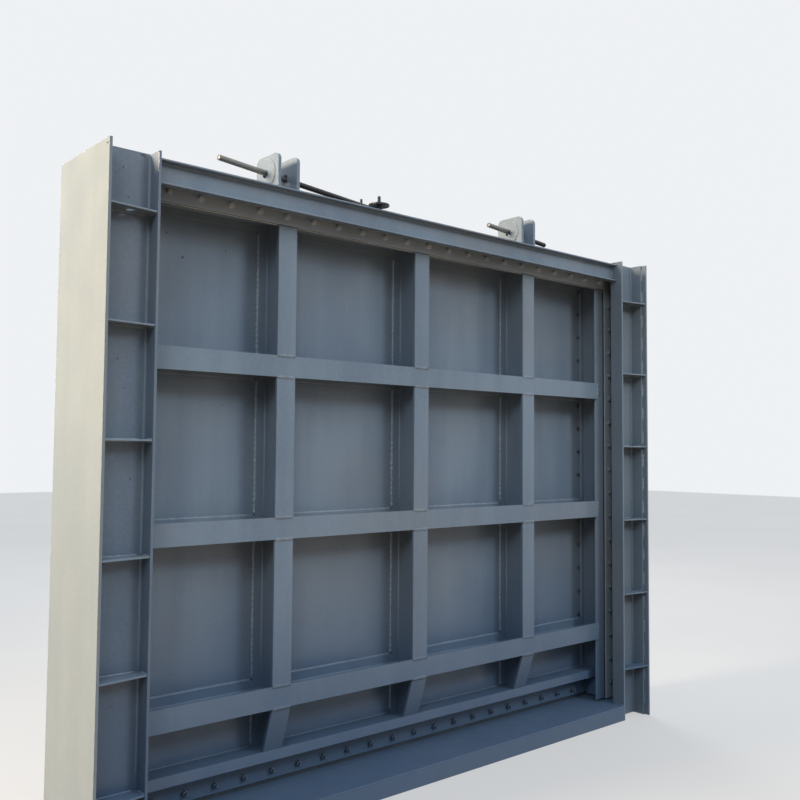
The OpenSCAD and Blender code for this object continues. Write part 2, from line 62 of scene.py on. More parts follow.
# Materials
class Shader:
    """A material with a Principled surface, and short calls that add nodes."""

    def __init__(self, name):
        self.material = bpy.data.materials.new(name)
        self.material.use_nodes = True
        self.tree = self.material.node_tree
        self.surface = self.tree.nodes["Principled BSDF"]
        self.coords = self.tree.nodes.new("ShaderNodeTexCoord").outputs["Object"]

    def add(self, kind, inputs=(), **settings):
        node = self.tree.nodes.new(kind)
        for key, value in settings.items():
            setattr(node, key, value)
        for key, value in dict(inputs).items():
            self.feed(node.inputs[key], value)
        return node

    def feed(self, socket, value):
        if isinstance(value, bpy.types.NodeSocket):
            self.tree.links.new(value, socket)
        else:
            socket.default_value = value

    def math(self, operation, a, b=0.0, clamp=False):
        node = self.add("ShaderNodeMath", {0: a, 1: b}, operation=operation, use_clamp=clamp)
        return node.outputs[0]

    def noise(self, scale, detail=3.0, stretch=None, roughness=0.5, offset=0.0):
        vector = self.coords
        if stretch or offset:
            vector = self.add(
                "ShaderNodeMapping",
                {"Vector": vector, "Scale": stretch or (1, 1, 1), "Location": (offset, offset, offset)},
            ).outputs[0]
        node = self.add(
            "ShaderNodeTexNoise",
            {"Vector": vector, "Scale": scale, "Detail": detail, "Roughness": roughness},
        )
        return node.outputs["Fac"]

    def ramp(self, value, low, high, to_low=0.0, to_high=1.0):
        node = self.add(
            "ShaderNodeMapRange",
            {"Value": value, "From Min": low, "From Max": high, "To Min": to_low, "To Max": to_high},
            interpolation_type="SMOOTHSTEP",
        )
        return node.outputs["Result"]

    def mix(self, factor, a, b):
        node = self.tree.nodes.new("ShaderNodeMix")
        node.data_type = "RGBA"
        self.feed(node.inputs[0], factor)
        self.feed(node.inputs[6], a)
        self.feed(node.inputs[7], b)
        return node.outputs[2]

    def specks(self, scale, size, share):
        """Small round marks in some of the cells of a grid of points."""
        cells = self.add(
            "ShaderNodeTexVoronoi",
            {"Vector": self.coords, "Scale": scale, "Randomness": 1.0},
        )
        near = self.math("LESS_THAN", cells.outputs["Distance"], size)
        red = self.add("ShaderNodeSeparateColor", {"Color": cells.outputs["Color"]}).outputs[0]
        return self.math("MULTIPLY", near, self.math("LESS_THAN", red, share))

    def up(self):
        """1 on faces that look up, 0 elsewhere."""
        normal = self.add("ShaderNodeNewGeometry").outputs["Normal"]
        z = self.add("ShaderNodeSeparateXYZ", {0: normal}).outputs[2]
        return self.ramp(z, 0.55, 0.95)

    def along(self, axis):
        """The place along X, Y or Z, given as 0, 1 or 2."""
        return self.add("ShaderNodeSeparateXYZ", {0: self.coords}).outputs[axis]

    def bump(self, parts):
        """Chains bumps, each given as (height, strength, distance)."""
        normal = None
        for value, strength, distance in parts:
            inputs = {"Height": value, "Strength": strength, "Distance": distance}
            if normal is not None:
                inputs["Normal"] = normal
            normal = self.add("ShaderNodeBump", inputs).outputs["Normal"]
        self.feed(self.surface.inputs["Normal"], normal)


def rgb(r, g, b):
    """A colour given in sRGB, 0 to 255, as Blender's linear values."""
    out = []
    for c in (r, g, b):
        c = c / 255
        out.append(c / 12.92 if c <= 0.04045 else ((c + 0.055) / 1.055) ** 2.4)
    return (*out, 1.0)


def paint(name, low, high, dust=0.30, powder=0.0, low_shade=0.80):
    """Sprayed enamel between two close tones. dust lies on faces that look up,
    powder is the grainy coat on rough welds, and the last one sets how much painted shade darkens the
    lower part."""
    s = Shader(name)
    # Cloudy coats and upright runs, between the two tones
    clouds = s.noise(1.3, 4.0)
    runs = s.noise(1.0, 3.0, stretch=(9.0, 9.0, 0.6))
    tone = s.math("ADD", s.math("MULTIPLY", clouds, 0.65), s.math("MULTIPLY", runs, 0.35))
    colour = s.mix(s.ramp(tone, 0.38, 0.62), low, high)
    # Large patches that are less blue
    warm = s.math("MULTIPLY", s.ramp(s.noise(0.9, 3.0, offset=7.0), 0.48, 0.66), 0.30)
    colour = s.mix(warm, colour, rgb(118, 122, 124))
    # Fine pale grain, and a coarser one where powder is given
    fine = s.math("MULTIPLY", s.ramp(s.noise(80.0, 3.0), 0.45, 0.75), 0.08)
    colour = s.mix(fine, colour, rgb(160, 168, 172))
    if powder:
        grains = s.math("MULTIPLY", s.ramp(s.noise(48.0, 3.0), 0.50, 0.60), powder)
        colour = s.mix(grains, colour, rgb(156, 165, 172))
    # Dark specks
    dark = s.math("MULTIPLY", s.specks(11.0, 0.038, 0.12), 0.7)
    colour = s.mix(dark, colour, rgb(34, 36, 38))
    # Dust on faces that look up, and mud splashed on the lowest 0.3 m
    patches = s.ramp(s.noise(9.0, 4.0, offset=5.0), 0.35, 0.7, dust * 0.3, dust)
    dirt = s.math("MULTIPLY", s.up(), patches)
    colour = s.mix(dirt, colour, rgb(112, 106, 94))
    height = s.along(2)
    splash = s.math("MULTIPLY", s.ramp(height, 0.30, 0.0), s.ramp(s.noise(16.0, 5.0), 0.46, 0.68))
    colour = s.mix(s.math("MULTIPLY", splash, 0.28), colour, rgb(104, 96, 82))
    # Painted shade: darker and bluer towards the ground
    shade_tone = (low[0] * 0.33, low[1] * 0.48, low[2] * 0.66, 1.0)
    colour = s.mix(s.ramp(height, 1.35, 0.15, 0.0, low_shade), colour, shade_tone)
    s.feed(s.surface.inputs["Base Color"], colour)
    rough = s.ramp(s.noise(5.0, 3.0, offset=1.0), 0.3, 0.7, 0.30, 0.45)
    rough = s.math("ADD", rough, s.math("MULTIPLY", dirt, 0.5), clamp=True)
    s.feed(s.surface.inputs["Roughness"], rough)
    s.surface.inputs["Specular IOR Level"].default_value = 0.5
    s.bump([
        (s.noise(22.0, 2.0), 0.20, 0.0015),
        (s.noise(380.0, 2.0), 0.08, 0.0004),
    ])
    return s.material


def bare_steel(name, base, rust, share, shaded_from=None):
    """Rolled steel, rusty in patches. share says how much of it is rusty, and
    the last one is the x from which on it is darkened, a painted shadow of the lug."""
    s = Shader(name)
    patches = s.noise(24.0, 6.0, roughness=0.65)
    patches = s.ramp(patches, 0.62 - share * 0.3, 0.70 - share * 0.2)
    grain = s.noise(210.0, 3.0)
    hollow = tuple(c * 0.6 for c in base[:3]) + (1.0,)
    colour = s.mix(s.ramp(grain, 0.3, 0.7), base, hollow)
    colour = s.mix(s.math("MULTIPLY", patches, 0.85), colour, rust)
    if shaded_from is not None:
        # Painted shadow of the lug: near-black from that x on
        lug_shadow = s.ramp(s.along(0), shaded_from, shaded_from + 0.03, 0.0, 0.85)
        colour = s.mix(lug_shadow, colour, rgb(44, 43, 44))
    s.feed(s.surface.inputs["Base Color"], colour)
    metallic = s.math("MULTIPLY", s.math("SUBTRACT", 1.0, patches), 0.75)
    s.feed(s.surface.inputs["Metallic"], metallic)
    s.feed(s.surface.inputs["Roughness"], s.ramp(patches, 0.0, 1.0, 0.42, 0.85))
    s.bump([(grain, 0.25, 0.0006), (s.noise(60.0, 4.0), 0.3, 0.001)])
    return s.material


def rubber(name, base, bloom):
    """Black moulded rubber with a faint bloom."""
    s = Shader(name)
    share = s.math("MULTIPLY", s.ramp(s.noise(7.0, 5.0), 0.45, 0.8), 0.35)
    s.feed(s.surface.inputs["Base Color"], s.mix(share, base, bloom))
    s.feed(s.surface.inputs["Roughness"], s.ramp(s.noise(40.0, 3.0), 0.3, 0.7, 0.55, 0.75))
    s.bump([(s.noise(320.0, 2.0), 0.15, 0.0004)])
    return s.material


def slide_polymer(name):
    """Dark machined polymer with fine tool lines."""
    s = Shader(name)
    lines = s.noise(1.0, 2.0, stretch=(300.0, 300.0, 9.0))
    s.feed(s.surface.inputs["Base Color"], s.mix(lines, rgb(36, 37, 38), rgb(62, 62, 62)))
    s.feed(s.surface.inputs["Roughness"], s.ramp(lines, 0.3, 0.7, 0.4, 0.6))
    s.bump([(lines, 0.2, 0.0005)])
    return s.material


blue_grey = paint("gate_paint", rgb(99, 113, 128), rgb(112, 126, 139))
bar_paint = paint("bar_paint", rgb(147, 161, 177), rgb(159, 170, 183))
# Paler copy of the gate paint for the side clamping bars, which sit in shade in their recess: painted
# light
lit_side_bar_paint = paint("lit_side_bar_paint", rgb(128, 139, 147), rgb(141, 151, 158), low_shade=0.50)
# Darker copy of the gate paint for the left guide channel: painted shade in its recess
shaded_left_channel_paint = paint("shaded_left_channel_paint", rgb(84, 98, 114), rgb(96, 110, 124))
right_channel_paint = paint("right_channel_paint", rgb(98, 111, 122), rgb(110, 122, 132), low_shade=0.35)
side_paint = paint("side_paint", rgb(107, 116, 121), rgb(113, 122, 126), low_shade=0.10)
# Near-white paint for the top beam's lower edge: a painted highlight
highlight_edge_paint = paint("highlight_edge_paint", rgb(186, 188, 184), rgb(204, 205, 200), dust=0.0, low_shade=0.0)
bolt_paint = paint("bolt_paint", rgb(98, 109, 119), rgb(116, 126, 136), powder=0.20)
# Paler than the top bar, so the top bolt heads read as lit: a painted highlight
highlight_top_bolt_paint = paint("highlight_top_bolt_paint", rgb(166, 178, 191), rgb(186, 195, 204), powder=0.2)
# Near-black paint for the rear slide strips' bolts: painted shade
shaded_slide_bolt_paint = paint("shaded_slide_bolt_paint", rgb(50, 56, 62), rgb(64, 70, 76), dust=0.10)
weld_paint = paint("weld_paint", rgb(112, 124, 135), rgb(130, 140, 149), powder=0.35)
# Paler weld paint for the laps at the beam ends: a painted highlight
highlight_weld_paint = paint("highlight_weld_paint", rgb(142, 150, 155), rgb(166, 172, 174), powder=0.5)
spatter_paint = paint("spatter_paint", rgb(38, 42, 46), rgb(58, 60, 60), dust=0.0)
seat_metal = bare_steel("seat_metal", rgb(128, 130, 132), rgb(116, 84, 60), 0.15)
clamp_metal = bare_steel("clamp_metal", rgb(66, 70, 76), rgb(84, 66, 54), 0.20)
rod_steel = rgb(150, 148, 144)
rod_rust = rgb(120, 106, 92)
# Both rods are darkened from beside their lug outwards: painted shadow
left_rod_metal = bare_steel("left_rod_metal", rod_steel, rod_rust, 0.10, shaded_from=-0.81)
right_rod_metal = bare_steel("right_rod_metal", rod_steel, rod_rust, 0.10, shaded_from=0.85)
seal_black = rubber("seal_rubber", rgb(24, 24, 25), rgb(70, 70, 70))
seal_dusty = rubber("seal_dusty", rgb(46, 55, 62), rgb(88, 92, 92))
slide_dark = slide_polymer("slide_block")

# Finish of the CAD nodes that aren't plain blue-grey
FINISH = {
    "lintel_clamp": clamp_metal,
    "front_channel_left": shaded_left_channel_paint,
    "front_channel_right": right_channel_paint,
    "side_plate_left": side_paint,
    "side_plate_right": right_channel_paint,
    "seal_bar_left": lit_side_bar_paint,
    "seal_bar_right": lit_side_bar_paint,
    "seal_bar_top": bar_paint,
    "seal_seat_left": seat_metal,
    "seal_seat_right": seat_metal,
    "seal_seat_top": seat_metal,
    "seal_left": seal_black,
    "seal_right": seal_black,
    "seal_top": seal_black,
    "seal_bottom": seal_dusty,
    "main_slides_left": slide_dark,
    "main_slides_right": slide_dark,
    "rear_slide_left": slide_dark,
    "rear_slide_right": slide_dark,
}
# The CAD nodes' edges are slightly round
for name, node in nodes.items():
    node.data.materials.clear()
    node.data.materials.append(FINISH.get(name, blue_grey))
    weld = node.modifiers.new("merge", "WELD")
    weld.merge_threshold = 0.00002
    bevel = node.modifiers.new("edges", "BEVEL")
    bevel.width = 0.0020
    bevel.segments = 2
    bevel.limit_method = "ANGLE"
    bevel.angle_limit = math.radians(40)
    bevel.harden_normals = False

# Directions
RIGHT = Vector((1, 0, 0))
BACK = Vector((0, 1, 0))
FRONT = Vector((0, -1, 0))
UP = Vector((0, 0, 1))

# Distance between the rings of vertices that a weld bead is made of, in metres
BEAD_STEP = 0.009
CAP_STEP = 0.007

# Legs of the weld beads, in metres
SKIN_LEG = 0.009
WEB_LEG = 0.006
LAP_LEG = 0.013
LUG_LEG = 0.008
DOUBLER_LEG = 0.007
STITCH_LEG = 0.007
COLUMN_LEG = 0.005
OUTER_LEG = 0.004


# Shapes
def piece(name, bm, body, material, smooth=True):
    mesh = bpy.data.meshes.new(name)
    bm.to_mesh(mesh)
    bm.free()
    for face in mesh.polygons:
        face.use_smooth = smooth
    mesh.materials.append(material)
    obj = bpy.data.objects.new(name, mesh)
    bpy.context.scene.collection.objects.link(obj)
    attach(obj, body)
    return obj


def turned(direction):
    """Matrix that turns +Z to the direction."""
    return Vector(direction).to_track_quat("Z", "Y").to_matrix().to_4x4()


def circle(bm, place, z, radii, turn=0.0):
    """Ring of vertices round the place's Z, with one radius for each."""
    ring = []
    for i, r in enumerate(radii):
        a = 2 * math.pi * (i + turn) / len(radii)
        ring.append(bm.verts.new(place @ Vector((r * math.cos(a), r * math.sin(a), z))))
    return ring


def close_rings(bm, rings, outward=True):
    """Faces from each ring of vertices to the next, and one on each end. outward
    is false where the rings run the other way round."""
    sides = len(rings[0])
    for low, high in zip(rings, rings[1:]):
        for i in range(sides):
            j = (i + 1) % sides
            quad = (low[i], low[j], high[j], high[i])
            bm.faces.new(quad if outward else quad[::-1])
    bm.faces.new(rings[-1] if outward else rings[-1][::-1])
    bm.faces.new(rings[0][::-1] if outward else rings[0])


def lathe(bm, place, profile, sides, turn=0.0):
    """Closed solid of revolution round the place's Z, from (radius, z) pairs."""
    close_rings(bm, [circle(bm, place, z, [radius] * sides, turn) for radius, z in profile])


def bolt(bm, point, direction, flats, height, washer=0.0, stud=0.0):
    """Hexagon head or nut with chamfered corners. flats is its width across the
    flats, washer its washer's diameter, and stud what stands out of a nut."""
    place = Matrix.Translation(point) @ turned(direction)
    base = 0.0
    if washer:
        r = washer / 2
        base = washer * 0.09
        lathe(bm, place, [(r, 0), (r, base * 0.8), (r - base * 0.3, base)], 24)
    corner = flats / math.sqrt(3)
    chamfer = corner - flats / 2
    top = base + height
    head = [
        (corner * 0.995, base),
        (corner, base + chamfer * 0.3),
        (corner, top - chamfer * 0.75),
        (flats / 2 * 0.93, top),
    ]
    lathe(bm, place, head, 6, random.random())
    if stud:
        r = flats * 0.31
        thread = [(r, base + height * 0.9), (r, top + stud), (r * 0.85, top + stud * 1.15)]
        lathe(bm, place, thread, 16)


def fillet(root, crown=0.0):
    """Cross-section of a fillet weld with legs of 1, sunk into its corner by root."""
    return [
        (-root, -root),
        (1.0, -0.05),
        (0.74, 0.34 + crown),
        (0.34 + crown, 0.74),
        (-0.05, 1.0),
    ]


def bead(bm, start, end, face_a, face_b, leg, crown=0.0, ripple=0.15):
    """Rippled weld bead in the corner along start to end. face_a and face_b point
    away from the corner along the two faces that it joins."""
    start, end = Vector(start), Vector(end)
    face_a, face_b = Vector(face_a), Vector(face_b)
    run = end - start
    count = max(3, int(run.length / BEAD_STEP))
    shape = fillet(0.12, crown)
    phase = random.random() * 6
    drift = 1.0
    rings = []
    for i in range(count + 1):
        drift += random.uniform(-0.07, 0.07)
        drift = min(1.18, max(0.84, drift))
        size = leg * drift * (1 + ripple * math.sin(i * 2.1 + phase))
        if i in (0, count):
            size *= 0.55
        point = start + run * (i / count)
        rings.append([bm.verts.new(point + (face_a * a + face_b * b) * size) for a, b in shape])
    close_rings(bm, rings, run.dot(face_a.cross(face_b)) > 0)


def deep_bead(bm, x, z, near, far, side, up, leg=WEB_LEG):
    """Bead that runs from y near to y far, on the side of an upright plate and
    above or below a level one. side and up are 1 or -1."""
    bead(bm, (x, near, z), (x, far, z), RIGHT * side, UP * up, leg)


def stitches(bm, start, end, face_a, face_b, leg, length, pitch):
    """Weld beads of one length, repeated along a joint."""
    start, end = Vector(start), Vector(end)
    run = end - start
    total = run.length
    at = pitch * 0.25
    while at + length < total:
        first = start + run * (at / total)
        last = start + run * ((at + length) / total)
        bead(bm, first, last, face_a, face_b, leg)
        at += pitch


def ring_bead(bm, centre, axis, radius, leg):
    """Rippled weld bead round a disc that stands on a face."""
    side_a = BACK
    side_b = axis.cross(side_a)
    shape = fillet(0.10)
    count = 96
    rings = []
    for i in range(count):
        a = 2 * math.pi * i / count
        ray = side_a * math.cos(a) + side_b * math.sin(a)
        size = leg * (1 + 0.12 * math.sin(i * 2.1) + random.uniform(-0.06, 0.06))
        rings.append([
            bm.verts.new(centre + ray * (radius + out * size) + axis * (rise * size))
            for out, rise in shape
        ])
    for i in range(count):
        low, high = rings[i], rings[(i + 1) % count]
        for k in range(len(shape)):
            j = (k + 1) % len(shape)
            bm.faces.new((low[k], high[k], high[j], low[j]))


def cap(bm, start, end, across, out, width, height):
    """Flat crowned bead over a butt joint: across the seam it is width wide."""
    start, end = Vector(start), Vector(end)
    run = end - start
    count = max(4, int(run.length / CAP_STEP))
    shape = [(-0.5, -0.4), (-0.5, 0.0), (-0.25, 0.8), (0.25, 0.8), (0.5, 0.0), (0.5, -0.4)]
    phase = random.random() * 6
    rings = []
    for i in range(count + 1):
        wobble = 1 + 0.12 * math.sin(i * 1.9 + phase) + random.uniform(-0.08, 0.08)
        tall = height * (1 + 0.25 * math.sin(i * 2.3 + phase))
        if i in (0, count):
            wobble *= 0.7
            tall *= 0.4
        point = start + run * (i / count)
        ring = []
        for a, b in shape:
            rise = tall if b > 0 else height
            ring.append(bm.verts.new(point + across * (a * width * wobble) + out * (b * rise)))
        rings.append(ring)
    close_rings(bm, rings, run.dot(across.cross(out)) < 0)


def blob(bm, centre, normal, radius, height):
    """Low dome with a ragged rim."""
    place = Matrix.Translation(centre) @ turned(normal)
    rings = []
    for share, rise in ((1.0, -0.05), (0.72, 0.7), (0.3, 1.0)):
        radii = [radius * share * random.uniform(0.75, 1.15) for _ in range(10)]
        rings.append(circle(bm, place, height * rise, radii))
    close_rings(bm, rings)


def ribbed_bar(label, body, material):
    """Ribbed bar in place of a plain rod of the CAD model."""
    points = [v.co for v in nodes[label].data.vertices]
    low_x = min(p.x for p in points)
    high_x = max(p.x for p in points)
    left = [p for p in points if p.x < low_x + 0.01]
    right = [p for p in points if p.x > high_x - 0.01]
    start = sum(left, Vector()) / len(left)
    end = sum(right, Vector()) / len(right)
    length = (end - start).length
    place = Matrix.Translation(start) @ turned((end - start).normalized())
    core_r, rib_h, end_r = 0.0130, 0.0012, 0.0122
    rib_pitch = 0.014
    sides = 28
    count = int(length / 0.0025)
    bm = bmesh.new()
    rings = []
    for i in range(count + 1):
        z = length * i / count
        radii = []
        for k in range(sides):
            a = 2 * math.pi * k / sides
            along = z / rib_pitch + 0.35 * math.sin(a)
            rib = max(0.0, math.cos(2 * math.pi * along)) ** 2 * abs(math.sin(a)) ** 0.6
            keel = max(0.0, abs(math.cos(a)) - 0.955) / 0.045
            radii.append(end_r if i in (0, count) else core_r + rib_h * max(rib, keel))
        rings.append(circle(bm, place, z, radii))
    close_rings(bm, rings)
    obj = piece(label + "_bar", bm, body, material)
    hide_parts(label)


# Places taken from the CAD model, in metres
skin_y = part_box("skin_plate")[0][1]
edge_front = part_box("edge_beam_right")[0][1]
sill_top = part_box("sill_plate")[1][2]
top_low, top_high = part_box("top_beam")
bottom_low, bottom_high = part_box("bottom_beam")
bar_low, bar_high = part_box("seal_bar_top")
side_low, side_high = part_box("seal_bar_right")
foot_low, foot_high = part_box("seal_bar_bottom")
channel_low, channel_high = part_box("front_channel_right")
plate_low, plate_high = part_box("side_plate_right")
lintel_low, lintel_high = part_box("lintel_front")
beams = [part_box(n) for n in ("lower_beam", "middle_beam", "upper_beam")]
ribs = [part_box(n) for n in ("rib_left", "rib_centre", "rib_right")]
beam_z = [(low[2] + high[2]) / 2 for low, high in beams]
rib_x = [(low[0] + high[0]) / 2 for low, high in ribs]
top_z = (top_low[2] + top_high[2]) / 2
beam_front = beams[0][0][1]

# Sizes of the CAD model's sections, in metres
web = 0.008
half = 0.05  # half the width of the beams' and the ribs' flanges
front_flange = 0.014
rear_flange = 0.010
edge_web_x = 1.600  # inner face of an edge beam's web
edge_lap_x = 1.521  # where a beam's front flange ends on the edge beam's
edge_rear_x = 1.574  # inner edge of an edge beam's rear flange
channel_flange = 0.012
channel_front = 0.220  # how far the guide channels' edges stand from the middle
channel_floor = 0.143  # the same for the open side of their webs
column_plate_first = 0.307
column_plate_pitch = 0.461
column_plate_count = 6
column_plate_half = 0.004

# Bolts of the clamping bars, placed along the bars as in the photograph
top_bolt = {"flats": 0.024, "height": 0.015, "washer": 0.028}
side_bolt = {"flats": 0.024, "height": 0.013, "washer": 0.031}
foot_nut = {"flats": 0.024, "height": 0.014, "washer": 0.034, "stud": 0.012}
bolt_pitch = 0.15
top_bolt_x = 0.0364  # the middle bolt
side_bolt_z = 2.597  # the highest bolt
foot_bolt_x = 0.1005  # the bolt right of the middle
foot_bolt_drop = 0.003  # how far the row lies below the bar's middle
side_bolt_end = 0.05  # least distance of a bolt from the bar's end
foot_bolt_end = 0.03

bm = bmesh.new()
row_z = (bar_low[2] + bar_high[2]) / 2
for i in range(-10, 11):
    x = top_bolt_x + i * bolt_pitch
    bolt(bm, (x, bar_low[1], row_z), FRONT, **top_bolt)
piece("bolts_top_bar", bm, "leaf", highlight_top_bolt_paint, smooth=False)

for side, label in ((-1, "left"), (1, "right")):
    bm = bmesh.new()
    x = side * (side_low[0] + side_high[0]) / 2
    z = side_bolt_z
    while z > side_low[2] + side_bolt_end:
        bolt(bm, (x, side_low[1], z), FRONT, **side_bolt)
        z -= bolt_pitch
    piece("bolts_side_bar_" + label, bm, "leaf", bolt_paint, smooth=False)

bm = bmesh.new()
row_z = (foot_low[2] + foot_high[2]) / 2 - foot_bolt_drop
for i in range(-11, 11):
    x = foot_bolt_x + i * bolt_pitch
    if abs(x) < foot_high[0] - foot_bolt_end:
        bolt(bm, (x, foot_low[1], row_z), FRONT, **foot_nut)
piece("bolts_bottom_bar", bm, "leaf", bolt_paint, smooth=False)

# Small bolts of the rear slide strips, on the skin plate beside the edge beams
rear_bolt = {"flats": 0.017, "height": 0.010, "washer": 0.024}
rear_bolt_x = 1.548
rear_bolt_z = 2.405
beam_reach = 0.065  # no bolt is nearer than this to a beam's middle
for side, label in ((-1, "left"), (1, "right")):
    bm = bmesh.new()
    for i in range(-14, 3):
        z = rear_bolt_z + bolt_pitch * i
        off_beams = all(abs(z - beam) > beam_reach for beam in beam_z)
        if off_beams and z > bottom_high[2] + 0.03:
            bolt(bm, (side * rear_bolt_x, skin_y, z), FRONT, **rear_bolt)
    piece("bolts_rear_slide_" + label, bm, "leaf", shaded_slide_bolt_paint, smooth=False)

# Free heights of the ribs between the beams, and free widths of the beams
# between the ribs and the edge beams
lows = [bottom_high[2]] + [z + half for z in beam_z]
highs = [z - half for z in beam_z] + [top_low[2]]
heights = list(zip(lows, highs))
lefts = [-edge_rear_x] + [x + half for x in rib_x]
rights = [x - half for x in rib_x] + [edge_rear_x]
bead_end = 0.006  # how far a level bead stays away from the next plate
widths = [(left + bead_end, right - bead_end) for left, right in zip(lefts, rights)]


def skin_bead(bm, start, end, away, leg, ripple=0.15):
    """Bead on the skin plate from one (x, z) to another."""
    first = (start[0], skin_y, start[1])
    last = (end[0], skin_y, end[1])
    bead(bm, first, last, away, FRONT, leg, ripple=ripple)


# Weld beads between the leaf's framework and the skin plate. Those in the
# shade, under the beams and along the edge beams, are a piece of their own in the plain paint,
# while those in the light get the paler weld paint: painted light and shade.
lit = bmesh.new()
under = bmesh.new()
for x in rib_x:
    for side in (-1, 1):
        edge = x + side * half
        for low, high in heights:
            skin_bead(lit, (edge, low + 0.004), (edge, high - 0.004), RIGHT * side, SKIN_LEG, 0.38)
for z in beam_z:
    for left, right in widths:
        for up, bm in ((-1, under), (1, lit)):
            edge = z + up * half
            skin_bead(bm, (left, edge), (right, edge), UP * up, SKIN_LEG)
for left, right in widths:
    skin_bead(lit, (left, bottom_high[2]), (right, bottom_high[2]), UP, WEB_LEG)
edge_bead_foot = 0.218
for side in (-1, 1):
    x = side * edge_rear_x
    for low, high in [(edge_bead_foot, heights[0][1])] + heights[1:]:
        skin_bead(under, (x, low), (x, high), RIGHT * -side, WEB_LEG)
piece("welds_skin", lit, "leaf", weld_paint)
piece("welds_under_beams", under, "leaf", blue_grey)

# Butt seams of the rib flanges on the beams, web to web fillets, and rib feet
seam_width = 0.017
seam_height = 0.0030
snipe = 0.018  # the webs' cut corners, which the fillets leave free
web_back = skin_y - rear_flange
web_bead_back = web_back - 0.004
bm = bmesh.new()
for x in rib_x:
    for z in beam_z:
        for up in (-1, 1):
            edge = z + up * half
            cap(bm, (x - half, beam_front, edge), (x + half, beam_front, edge), UP, FRONT,
                seam_width, seam_height)
            for side in (-1, 1):
                wall = x + side * web / 2
                face = z + up * web / 2
                deep_bead(bm, wall, face, beam_front + front_flange + snipe, web_back - snipe, side, up)
foot_y = bottom_low[1] + 0.02
foot_bead_front = bottom_low[1] + 0.034
for x in rib_x:
    for side in (-1, 1):
        wall = x + side * web / 2
        deep_bead(bm, wall, bottom_high[2], foot_bead_front, web_bead_back, side, 1)
    for left, right in ((x - half, x - web), (x + web, x + half)):
        bead(bm, (left, foot_y, bottom_high[2]), (right, foot_y, bottom_high[2]), BACK, UP, WEB_LEG)
piece("welds_ribs", bm, "leaf", bolt_paint)

# Beam ends on the edge beams, and the edge beams' webs on their front flanges.
# The laps on the front are a piece of their own, in paler paint: a painted highlight.
bm = bmesh.new()
laps = bmesh.new()
web_bead_foot = 0.14
web_bead_top = 2.78
root_y = edge_front + 0.010
for side in (-1, 1):
    lap_x = side * edge_lap_x
    wall = side * edge_web_x
    for z in beam_z:
        bead(laps, (lap_x, edge_front, z - half), (lap_x, edge_front, z + half), RIGHT * side, FRONT,
             LAP_LEG, crown=0.08, ripple=0.22)
        for up in (-1, 1):
            deep_bead(bm, wall, z + up * web / 2, edge_front + front_flange, web_bead_back, -side, up)
    bead(bm, (wall, root_y, web_bead_foot), (wall, root_y, top_low[2]), RIGHT * -side, BACK, WEB_LEG)
    wall = side * (edge_web_x + web)
    bead(bm, (wall, root_y, web_bead_foot), (wall, root_y, web_bead_top), RIGHT * side, BACK, WEB_LEG)
piece("welds_edge_beams", bm, "leaf", weld_paint)
piece("welds_beam_ends", laps, "leaf", highlight_weld_paint)

# Painted highlight: a near-white strip along the top beam's lower edge, under its clamping bar
bm = bmesh.new()
edge_x = 1.555
edge_z = top_low[2] + 0.0055
cap(bm, (-edge_x, edge_front, edge_z), (edge_x, edge_front, edge_z), UP, FRONT, 0.009, 0.0022)
piece("top_beam_edge_highlight", bm, "leaf", highlight_edge_paint)

# Lug welds: feet, and the rims of the round doublers
lug_inner_face = 0.0445
lug_outer_face = 0.0605
lug_front = -0.048
doubler_y = 0.034
doubler_z = 2.962
doubler_r = 0.070
bm = bmesh.new()
for label in ("lug_left", "lug_right"):
    low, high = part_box(label)
    centre = (low[0] + high[0]) / 2
    for side in (-1, 1):
        for face, outward in ((lug_inner_face, -1), (lug_outer_face, 1)):
            x = centre + side * face
            away = side * outward
            deep_bead(bm, x, top_z + 0.003, top_low[1] + 0.024, skin_y - 0.024, away, 1, LUG_LEG)
            deep_bead(bm, x, top_high[2], lug_front, high[1] - 0.004, away, 1, LUG_LEG)
        hub = Vector((centre + side * lug_outer_face, doubler_y, doubler_z))
        ring_bead(bm, hub, RIGHT * side, doubler_r, DOUBLER_LEG)
piece("welds_lugs", bm, "leaf", weld_paint)

# Drips and paint chips at places as in the photograph, and loose weld spatter
chips = ((-1.38, 2.62, 0.004), (-1.30, 2.52, 0.006), (-1.08, 2.58, 0.004), (-1.02, 2.53, 0.003))
bm = bmesh.new()
for x, z, r in chips:
    blob(bm, (x, skin_y, z), FRONT, r, 0.001)
piece("paint_chips", bm, "leaf", spatter_paint)

bm = bmesh.new()
flange_reach = 0.07  # spatter nearer than this to a rib or beam is left out
for _ in range(60):
    x, z = random.uniform(-1.45, 1.45), random.uniform(0.35, 2.6)
    near_rib = any(abs(x - rib) < flange_reach for rib in rib_x)
    near_beam = any(abs(z - beam) < flange_reach for beam in beam_z)
    if not near_rib and not near_beam:
        blob(bm, (x, skin_y, z), FRONT, random.uniform(0.002, 0.004), 0.0015)
piece("spatter_leaf", bm, "leaf", bolt_paint)

channel_drips = (
    (-1.615, 2.857, 0.007),
    (-1.605, 2.852, 0.005),
    (-1.624, 2.855, 0.004),
    (-1.612, 2.846, 0.003),
)
side_drips = ((-0.236, 2.842, 0.004), (-0.229, 2.842, 0.003), (-0.223, 2.843, 0.003))
bm = bmesh.new()
for x, z, r in channel_drips:
    blob(bm, (x, -channel_floor, z), FRONT, r, 0.002)
for _ in range(12):
    x, z = random.uniform(-1.76, -1.61), random.uniform(0.4, 2.8)
    blob(bm, (x, -channel_floor, z), FRONT, random.uniform(0.002, 0.004), 0.0015)
for y, z, r in side_drips:
    blob(bm, (-plate_high[0], y, z), -RIGHT, r, 0.0015)
piece("spatter_frame", bm, "frame", spatter_paint)

# Weld beads of the frame: channels on the side plates, column plates, lintels
# and sill
bm = bmesh.new()
column_top = plate_high[2]
stitch_length = 0.085
stitch_pitch = 0.150
